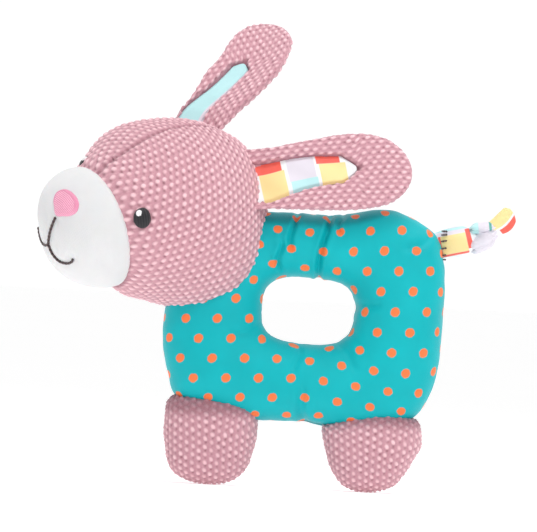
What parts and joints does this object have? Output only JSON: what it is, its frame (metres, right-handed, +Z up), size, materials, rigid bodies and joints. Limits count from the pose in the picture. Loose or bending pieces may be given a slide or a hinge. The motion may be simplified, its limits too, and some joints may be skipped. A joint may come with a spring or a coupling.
{
  "type": "plush ring rattle",
  "caption": "Soft toy rattle: stuffed fabric ring on two knitted feet, with a knitted animal head, lined ears and a knotted satin tail.",
  "frame": {"origin": "centre of the toy's bounding box in plan, on the surface that its feet stand on", "axes": "+X from the nose end towards the tail, +Y through the ring's thickness towards the animal's right side, +Z up"},
  "size_m": [0.1794, 0.0926, 0.1725],
  "materials": {
    "pink_knit": "matte",
    "white_jersey": "matte",
    "ring_fabric": "satin",
    "plaid_satin": "satin",
    "stuffing": "matte",
    "pink_thread": "satin",
    "brown_thread": "satin",
    "black_thread": "satin",
    "white_thread": "satin",
    "capsule_plastic": "satin",
    "bead_plastic": "gloss"
  },
  "bodies": {
    "ring": {"body_panel_front": "ring_fabric", "body_panel_back": "ring_fabric", "body_filling": "stuffing"},
    "head": {"head_panel_left": "pink_knit", "head_panel_right": "pink_knit", "muzzle_cover": "white_jersey", "head_filling": "stuffing", "nose_embroidery": "pink_thread", "mouth_stitching": "brown_thread", "eye_left": "black_thread", "eye_glint_left": "white_thread", "eye_right": "black_thread", "eye_glint_right": "white_thread", "rattle_capsule_upper": "capsule_plastic", "rattle_capsule_lower": "capsule_plastic"},
    "ear_left": {"ear_left_knit": "pink_knit", "ear_left_lining": "plaid_satin", "ear_left_wadding": "stuffing"},
    "ear_right": {"ear_right_knit": "pink_knit", "ear_right_lining": "plaid_satin", "ear_right_wadding": "stuffing"},
    "front_foot": {"front_foot_panel_near": "pink_knit", "front_foot_panel_far": "pink_knit", "front_foot_filling": "stuffing"},
    "rear_foot": {"rear_foot_panel_near": "pink_knit", "rear_foot_panel_far": "pink_knit", "rear_foot_filling": "stuffing"},
    "tail": {"tail_ribbon": "plaid_satin"},
    "bead_1": {"rattle_bead_1": "bead_plastic"},
    "bead_2": {"rattle_bead_2": "bead_plastic"},
    "bead_3": {"rattle_bead_3": "bead_plastic"},
    "bead_4": {"rattle_bead_4": "bead_plastic"},
    "bead_5": {"rattle_bead_5": "bead_plastic"}
  },
  "joints": [
    {"name": "head_nod", "type": "hinge", "parent": "ring", "child": "head", "pos_m": [-0.03967, -0.00821, 0.1012], "axis": [0, -1, 0], "range_deg": [0, 15], "stiffness_Nm_per_rad": 0.3},
    {"name": "ear_left_flop", "type": "hinge", "parent": "head", "child": "ear_left", "pos_m": [-0.00361, -0.01801, 0.11354], "axis": [0.1359, -0.3861, -0.9124], "range_deg": [0, 35], "stiffness_Nm_per_rad": 0.05},
    {"name": "ear_right_flop", "type": "hinge", "parent": "head", "child": "ear_right", "pos_m": [-0.02938, 0.01216, 0.13361], "axis": [0.8624, -0.483, -0.1516], "range_deg": [-15, 30], "stiffness_Nm_per_rad": 0.05},
    {"name": "tail_swing", "type": "hinge", "parent": "ring", "child": "tail", "pos_m": [0.06843, -0.00471, 0.0946], "axis": [0, 1, 0], "range_deg": [-25, 25], "stiffness_Nm_per_rad": 0.006},
    {"name": "front_foot_flex", "type": "hinge", "parent": "ring", "child": "front_foot", "pos_m": [-0.02107, -0.00471, 0.042], "axis": [1, 0, 0], "range_deg": [-12, 12], "stiffness_Nm_per_rad": 0.6},
    {"name": "rear_foot_flex", "type": "hinge", "parent": "ring", "child": "rear_foot", "pos_m": [0.04123, -0.00471, 0.0395], "axis": [1, 0, 0], "range_deg": [-12, 12], "stiffness_Nm_per_rad": 0.6},
    {"name": "bead_1_bounce", "type": "slide", "parent": "head", "child": "bead_1", "axis": [0, 0, 1], "range_m": [0, 0.01425]},
    {"name": "bead_2_bounce", "type": "slide", "parent": "head", "child": "bead_2", "axis": [0, 0, 1], "range_m": [0, 0.01425]},
    {"name": "bead_3_bounce", "type": "slide", "parent": "head", "child": "bead_3", "axis": [0, 0, 1], "range_m": [0, 0.01425]},
    {"name": "bead_4_bounce", "type": "slide", "parent": "head", "child": "bead_4", "axis": [0, 0, 1], "range_m": [0, 0.01425]},
    {"name": "bead_5_bounce", "type": "slide", "parent": "head", "child": "bead_5", "axis": [0, 0, 1], "range_m": [0, 0.01425]}
  ]
}
